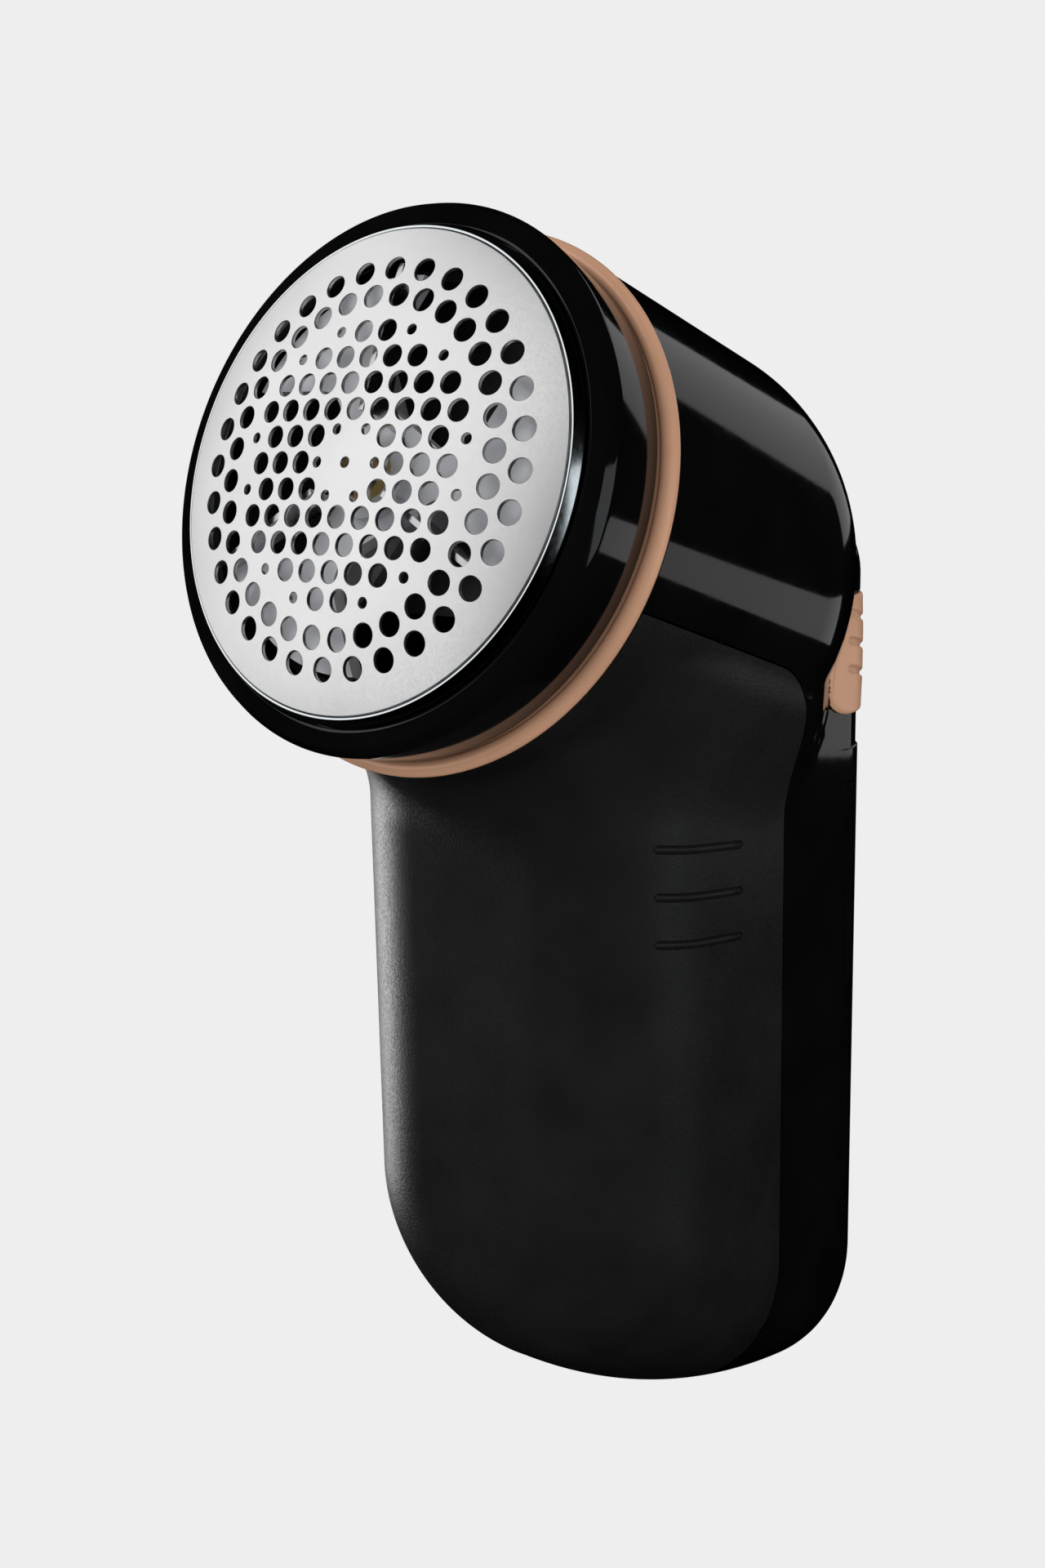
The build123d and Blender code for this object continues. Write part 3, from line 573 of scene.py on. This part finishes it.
button_low = CORNER - (10, 10, 9)
button_high = CORNER + (9, 9, 9)
button = fix_normals(new_object("slide_pad", *surface(button_field, 0, button_low, button_high, BUTTON_GRID)))
stem = [(-1, -2), (1, -2), (1, 2), (-1, 2)]
STEM_INSET, STEM_Y, STEM_LENGTH = 3.8, 27.6, 3.4
stem_at = (HALF_WIDTH - STEM_INSET, STEM_Y, BUTTON_Z)
cut(button, "UNION", fix_normals(prism(stem, 0, STEM_LENGTH, (1, 0, 0), (0, 1, 0), stem_at)))
polish(button, button_field, (0,))


def track_field(x, y, z):
    """Shallow pocket that the button slides in."""
    sideways, upward, _ = button_plane(x, y, z)
    middle = upward + BUTTON_TRAVEL / 2
    beyond = np.sign(middle) * np.maximum(np.abs(middle) - BUTTON_TRAVEL / 2, 0)
    skin = outer_field(x, y, z)
    return np.maximum(plate_field(sideways, beyond, 0.25, 4.6), np.maximum(-(skin + POCKET), skin - 2))


TRACK_GRID = 0.25
track_low = CORNER - (11, 11, 13)
track_high = CORNER + (10, 10, 10)
track = fix_normals(new_object("track", *surface(track_field, 0, track_low, track_high, TRACK_GRID)))
cut(housing, "DIFFERENCE", track)
polish(housing, outer_field, (0, -WALL, -POCKET))

for leftover in (outer, inner):
    bpy.data.objects.remove(leftover)

# ---------------------------------------------------------------- turned rings of the head
collar_profile = rounded_outline(
    [(22.3, -3.9), (22.3, -2.7), (25.08, -2.7), (25.08, -1.5), (25.5, -1.35), (27.05, -1.35), (27.75, -2.9),
     (26.95, -10.3), (24.95, -10.3), (24.95, -3.9)],
    (0.2, 0.2, 0.05, 0.1, 0.3, 0.6, 1.6, 0.35, 0.2, 0.2), 8)
collar = smooth(fix_normals(turned("collar_ring", collar_profile)), 50)
bezel_profile = rounded_outline(
    [(22.5, -2.6), (22.5, -1.5), (24.15, -1.5), (24.2, -0.15), (24.45, -0.15), (24.95, -1.2), (24.93, -2.6)],
    (0.1, 0.1, 0.05, 0.08, 0.1, 0.2, 0.1), 6)
bezel = smooth(fix_normals(turned("bezel_ring", bezel_profile)), 50)
RING_TUBE = 0.95
RING = (reach("accent_ring", 1, 0) - RING_TUBE, -11.65)
tube = arc(RING, RING_TUBE, -147, 147, 36)
ring = smooth(fix_normals(turned("copper_ring", tube + [(25.4, RING[1] + 0.6), (25.4, RING[1] - 0.6)])), 50)


# ---------------------------------------------------------------- foil with its holes
def hole_places():
    """Centre and radius of every hole: a hexagonal field, with smaller holes in places, and two rings."""
    large, small, outer_hole = 0.39 * PITCH, 0.2 * PITCH, 0.41 * PITCH
    places = [(0, 0, small)]
    for row in range(-5, 6):
        for column in range(-10, 11):
            x, y = PITCH * (column + (row % 2) / 2), PITCH * sqrt(3) / 2 * row
            far = hypot(x, y) / PITCH
            if 1.1 < far < 4.7:
                places.append((x, y, large if far < 4.4 else small))
    for k in range(6):
        turn = radians(60 * k)
        places.append((1.234 * PITCH * cos(turn), 1.234 * PITCH * sin(turn), small))
    for k in range(32):
        for far, shift in ((6.49, 0), (5.554, 0.5)):
            turn = 2 * pi * (k + shift) / 32
            places.append((far * PITCH * cos(turn), far * PITCH * sin(turn), outer_hole))
    return places


def foil_mesh():
    sides, rim = 28, 220
    flat, edges = [], []
    for x, y, radius in hole_places():
        loop = []
        for k in range(sides):
            turn = 2 * pi * k / sides
            loop.append(len(flat))
            flat.append((x + radius * cos(turn), y + radius * sin(turn)))
        edges += [(loop[k], loop[(k + 1) % sides]) for k in range(sides)]
    border = []
    for k in range(rim):
        border.append(len(flat))
        flat.append((FOIL_RADIUS * cos(2 * pi * k / rim), FOIL_RADIUS * sin(2 * pi * k / rim)))
    edges += [(border[k], border[(k + 1) % rim]) for k in range(rim)]
    places = np.array(hole_places())
    spacing = 0.62
    for i in range(-40, 41):
        for j in range(-46, 47):
            x, y = spacing * (i + (j % 2) / 2), spacing * sqrt(3) / 2 * j
            clear = np.hypot(places[:, 0] - x, places[:, 1] - y) - places[:, 2]
            if hypot(x, y) < FOIL_RADIUS - 0.4 and clear.min() > 0.3:
                flat.append((x, y))
    result = delaunay_2d_cdt([Vector(p) for p in flat], edges, [], 0, 1e-5)
    flat_out, faces = result[0], result[2]
    kept = []
    for face in faces:
        x = sum(flat_out[i][0] for i in face) / 3
        y = sum(flat_out[i][1] for i in face) / 3
        clear = np.hypot(places[:, 0] - x, places[:, 1] - y) > places[:, 2] * 0.985
        if hypot(x, y) < FOIL_RADIUS and clear.all():
            kept.append(face)
    plane = np.array([tuple(p) for p in flat_out])
    return plane, kept


def dome_field(x, y, z):
    """Height above the foil's outer face, along the head axis."""
    depth, up = head_frame(x, y, z)
    return -depth - FOIL_RISE * (1 - (x ** 2 + up ** 2) / FOIL_RADIUS ** 2)


def foil_object():
    """Domed sheet of two faces joined at its edge and holes, each hole with a small rolled-in lip."""
    plane, kept = foil_mesh()
    count = len(plane)
    far = np.hypot(plane[:, 0], plane[:, 1])
    dome = FOIL_RISE * (1 - (far / FOIL_RADIUS) ** 2)
    spokes = plane[:, :1] * ACROSS + plane[:, 1:2] * UP
    flipped = {}
    for face in kept:
        for a, b in zip(face, face[1:] + face[:1]):
            flipped[(a, b)] = flipped.get((a, b), 0) + 1
    open_edges = [edge for edge in flipped if (edge[1], edge[0]) not in flipped]
    places = np.array(hole_places())
    inward = np.zeros((count, 2))
    on_edge = np.zeros(count, bool)
    for a, b in open_edges:
        on_edge[[a, b]] = True
    for i in np.flatnonzero(on_edge):
        from_centres = np.hypot(places[:, 0] - plane[i, 0], places[:, 1] - plane[i, 1])
        gap = np.abs(from_centres - places[:, 2])
        if far[i] < FOIL_RADIUS - 0.1:
            centre = places[gap.argmin(), :2]
            inward[i] = (centre - plane[i]) / np.linalg.norm(centre - plane[i])
        else:
            inward[i] = plane[i] / far[i]
    outer_face = HEAD + spokes + AXIS * dome[:, None]
    edge_list = np.flatnonzero(on_edge)
    drift = inward[:, :1] * ACROSS + inward[:, 1:2] * UP
    lip = []
    for share, drop in ((0.03, 0.01), (0.07, 0.04), (0.09, 0.10)):
        edge = HEAD + spokes[edge_list] + AXIS * (dome[edge_list, None] - drop)
        lip.append(edge + drift[edge_list] * share)
    inner_face = HEAD + spokes + AXIS * (dome[:, None] - FOIL_THICKNESS) + drift * 0.09
    points = np.concatenate([outer_face] + lip + [inner_face])
    order = {int(v): k for k, v in enumerate(edge_list)}
    size = len(edge_list)
    faces = [tuple(f) for f in kept]
    last = count + 3 * size
    faces += [tuple(last + i for i in reversed(f)) for f in kept]
    for a, b in open_edges:
        ring_a = [a] + [count + k * size + order[a] for k in range(3)] + [last + a]
        ring_b = [b] + [count + k * size + order[b] for k in range(3)] + [last + b]
        for k in range(4):
            faces.append((ring_b[k], ring_a[k], ring_a[k + 1], ring_b[k + 1]))
    return polish(new_object("foil_dome", points, faces), dome_field, (0,), 60)


foil = foil_object()


# ---------------------------------------------------------------- materials
NOISE_LOW, NOISE_HIGH = 0.3, 0.7       # the range that most of a noise texture falls in


def material(name, colour, metallic=0.0, roughness=0.4, vary=0.12, rough_vary=0.06, grain=0.4, bump=0.02,
             broad=9.0, coat=0.0):
    """Principled material: broad colour drift, fine grain in roughness and bump. Sizes in millimetres."""
    made = bpy.data.materials.new(name)
    made.use_nodes = True
    nodes, links = made.node_tree.nodes, made.node_tree.links
    shader = nodes["Principled BSDF"]
    shader.inputs["Metallic"].default_value = metallic
    shader.inputs["Coat Weight"].default_value = coat
    shader.inputs["Coat Roughness"].default_value = 0.1
    place = nodes.new("ShaderNodeTexCoord")
    wide = nodes.new("ShaderNodeTexNoise")
    wide.inputs["Scale"].default_value = 1 / (broad * MM)
    wide.inputs["Detail"].default_value = 3
    links.new(place.outputs["Object"], wide.inputs["Vector"])
    fine = nodes.new("ShaderNodeTexNoise")
    fine.inputs["Scale"].default_value = 1 / (grain * MM)
    fine.inputs["Detail"].default_value = 4
    links.new(place.outputs["Object"], fine.inputs["Vector"])
    ramp = nodes.new("ShaderNodeValToRGB")
    ramp.color_ramp.elements[0].position = NOISE_LOW
    ramp.color_ramp.elements[1].position = NOISE_HIGH
    ramp.color_ramp.elements[0].color = [c * (1 - vary) for c in colour] + [1]
    ramp.color_ramp.elements[1].color = [min(c * (1 + vary), 1) for c in colour] + [1]
    links.new(wide.outputs["Fac"], ramp.inputs["Fac"])
    links.new(ramp.outputs["Color"], shader.inputs["Base Color"])
    spread = nodes.new("ShaderNodeMapRange")
    spread.inputs["From Min"].default_value = NOISE_LOW
    spread.inputs["From Max"].default_value = NOISE_HIGH
    spread.inputs["To Min"].default_value = max(roughness - rough_vary, 0.01)
    spread.inputs["To Max"].default_value = roughness + rough_vary
    links.new(fine.outputs["Fac"], spread.inputs["Value"])
    links.new(spread.outputs["Result"], shader.inputs["Roughness"])
    if bump:
        relief = nodes.new("ShaderNodeBump")
        relief.inputs["Distance"].default_value = bump * MM
        relief.inputs["Strength"].default_value = 1.0
        links.new(fine.outputs["Fac"], relief.inputs["Height"])
        links.new(relief.outputs["Normal"], shader.inputs["Normal"])
    return made


FINISHES = {
    "steel": dict(colour=(0.86, 0.86, 0.86), metallic=1.0, roughness=0.34, rough_vary=0.04, grain=0.25,
                  bump=0, vary=0.07, broad=24.0),
    "chrome": dict(colour=(0.78, 0.82, 0.84), metallic=1.0, roughness=0.16, rough_vary=0.03, bump=0,
                   vary=0.05),
    "gloss_black": dict(colour=(0.0022, 0.0022, 0.0024), roughness=0.07, rough_vary=0.02, grain=1.2,
                        bump=0, vary=0.3),
    "matte_black": dict(colour=(0.0088, 0.0088, 0.009), roughness=0.46, rough_vary=0.1, grain=0.3,
                        bump=0.04, vary=0.2),
    "copper": dict(colour=(0.62, 0.34, 0.21), metallic=0.25, roughness=0.38, rough_vary=0.04, grain=0.2,
                   bump=0.001, vary=0.06),
    "grey_plastic": dict(colour=(0.6, 0.61, 0.64), roughness=0.45, grain=0.3, bump=0.004),
    "dark_plastic": dict(colour=(0.012, 0.012, 0.014), roughness=0.4, grain=0.3, bump=0.008),
    "blade_steel": dict(colour=(0.62, 0.62, 0.63), metallic=1.0, roughness=0.25, grain=0.15, bump=0.003,
                        vary=0.08),
    "brass": dict(colour=(0.62, 0.44, 0.17), metallic=1.0, roughness=0.32, grain=0.2, bump=0.003, vary=0.1),
    "motor_steel": dict(colour=(0.5, 0.5, 0.49), metallic=1.0, roughness=0.35, grain=0.3, bump=0.003,
                        vary=0.1),
    "magnet": dict(colour=(0.05, 0.05, 0.055), metallic=0.4, roughness=0.6, grain=0.2, bump=0.012),
    "spring_steel": dict(colour=(0.55, 0.56, 0.58), metallic=1.0, roughness=0.22, grain=0.2, bump=0.002,
                         vary=0.08),
    "rubber": dict(colour=(0.02, 0.02, 0.02), roughness=0.7, grain=0.25, bump=0.012),
    "cell": dict(colour=(0.05, 0.09, 0.2), roughness=0.3, grain=0.5, bump=0.003, vary=0.2, coat=0.5),
    "lead": dict(colour=(0.35, 0.02, 0.015), roughness=0.4, grain=0.3, bump=0.004, vary=0.15),
    "white_plastic": dict(colour=(0.7, 0.7, 0.68), roughness=0.45, grain=0.3, bump=0.006, vary=0.06),
}
finish = {slot: material(slot, **values) for slot, values in FINISHES.items()}

for node in frame["nodes"].values():
    slots = [s.material.name.split(".")[0] for s in node.material_slots if s.material]
    node.data.materials.clear()
    node.data.materials.append(finish[slots[0]] if slots and slots[0] in finish else finish["dark_plastic"])

PIECES = (
    (housing, "body", "gloss_black", "main_housing"),
    (container, "container", "matte_black", "lint_container"),
    (door, "door", "gloss_black", "battery_door"),
    (button, "button", "copper", "slide_button"),
    (collar, "guard", "gloss_black", "guard_collar"),
    (bezel, "guard", "chrome", "guard_bezel"),
    (ring, "body", "copper", "accent_ring"),
    (foil, "guard", "steel", "guard_foil"),
)
for piece, body, slot, node in PIECES:
    piece.data.materials.clear()
    piece.data.materials.append(finish[slot])
    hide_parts(node)
    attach(piece, body)


# ---------------------------------------------------------------- floor, background and lights
def glow(name, colour, strength):
    made = bpy.data.materials.new(name)
    made.use_nodes = True
    nodes, links = made.node_tree.nodes, made.node_tree.links
    nodes.remove(nodes["Principled BSDF"])
    light = nodes.new("ShaderNodeEmission")
    light.inputs["Color"].default_value = (*colour, 1)
    light.inputs["Strength"].default_value = strength
    links.new(light.outputs["Emission"], nodes["Material Output"].inputs["Surface"])
    return made


def card(name, centre, facing, width, height, strength, colour=(1, 1, 1), lit=()):
    """Soft light panel seen in reflections only, by all pieces or the given ones. Sizes in metres."""
    centre, facing = Vector(centre), Vector(facing).normalized()
    turn = facing.to_track_quat("Z", "Y").to_matrix()
    corners = [centre + turn @ Vector((a * width / 2, b * height / 2, 0))
               for a, b in ((-1, -1), (1, -1), (1, 1), (-1, 1))]
    mesh = bpy.data.meshes.new(name)
    mesh.from_pydata(corners, [], [(0, 1, 2, 3)])
    panel = bpy.data.objects.new(name, mesh)
    bpy.context.scene.collection.objects.link(panel)
    mesh.materials.append(glow(name, colour, strength))
    panel.visible_camera = False
    panel.visible_diffuse = False
    panel.visible_shadow = False
    if lit:
        receivers = bpy.data.collections.new(name + "_receivers")
        for piece in lit:
            receivers.objects.link(piece)
        panel.light_linking.receiver_collection = receivers
    return panel


BACKGROUND = 0.855
world = bpy.data.worlds.new("studio")
bpy.context.scene.world = world
world.use_nodes = True
world.node_tree.nodes["Background"].inputs["Color"].default_value = (BACKGROUND, BACKGROUND, BACKGROUND, 1)
world.node_tree.nodes["Background"].inputs["Strength"].default_value = 1.0
world.cycles_visibility.glossy = False

floor_mesh = bpy.data.meshes.new("floor")
FLOOR = 4.0
floor_corners = [(-FLOOR, -FLOOR, 0), (FLOOR, -FLOOR, 0), (FLOOR, FLOOR, 0), (-FLOOR, FLOOR, 0)]
floor_mesh.from_pydata(floor_corners, [], [(0, 1, 2, 3)])
floor = bpy.data.objects.new("floor", floor_mesh)
bpy.context.scene.collection.objects.link(floor)
floor_mesh.materials.append(glow("floor", (BACKGROUND, BACKGROUND, BACKGROUND), 1.0))
floor.visible_glossy = False
floor.visible_diffuse = False


def soft_light(name, place, size, power):
    data = bpy.data.lights.new(name, "AREA")
    data.shape = "SQUARE"
    data.size = size
    data.energy = power
    light = bpy.data.objects.new(name, data)
    bpy.context.scene.collection.objects.link(light)
    light.location = place
    aim = Vector((0, 0, 0.08)) - Vector(place)
    light.rotation_euler = aim.to_track_quat("-Z", "Y").to_euler()
    light.visible_glossy = False
    light.visible_camera = False
    return light


soft_light("key", (-0.4, -0.7, 0.7), 0.5, 4)
soft_light("fill", (0.8, -0.5, 0.5), 0.6, 2)

MIDDLE = Vector((0, 0, 0.1))
card("card_foil", MIDDLE + Vector((-0.62, -0.56, 0.36)), (0.55, 0.5, -0.3), 1.25, 1.1, 1.0,
     lit=[foil, bezel, button, ring] + list(frame["nodes"].values()))
card("card_back", MIDDLE + Vector((0.04, 0.9, 0.3)), (0, -0.9, -0.25), 0.38, 0.6, 0.45)
card("card_low", Vector((0.085, 0.085, 0.079)), (-0.55, -0.8, 0.25), 0.09, 0.022, 0.6)
card("card_side", MIDDLE + Vector((0.7, 0.12, 0.0)), (-1, 0, 0), 0.3, 0.4, 0.9, (0.9, 0.97, 1.0))
card("card_left", MIDDLE + Vector((-0.6, -0.02, -0.12)), (1, 0, 0.1), 0.26, 0.4, 8.0,
     lit=[container])

# ---------------------------------------------------------------- camera
camera_data = bpy.data.cameras.new("camera")
camera_data.sensor_fit = "VERTICAL"
camera_data.sensor_height = 36.0
camera_data.lens = 42.21
camera = bpy.data.objects.new("camera", camera_data)
bpy.context.scene.collection.objects.link(camera)
right, above, backward = (0.7856, 0.6184, -0.0197), (-0.1159, 0.1784, 0.9771), (0.6078, -0.7653, 0.2118)
turn = Matrix((right, above, backward)).transposed()
camera.matrix_world = Matrix.Translation((0.12353, -0.16109, 0.12795)) @ turn.to_4x4()
bpy.context.scene.camera = camera
bpy.context.scene.view_settings.view_transform = "Standard"
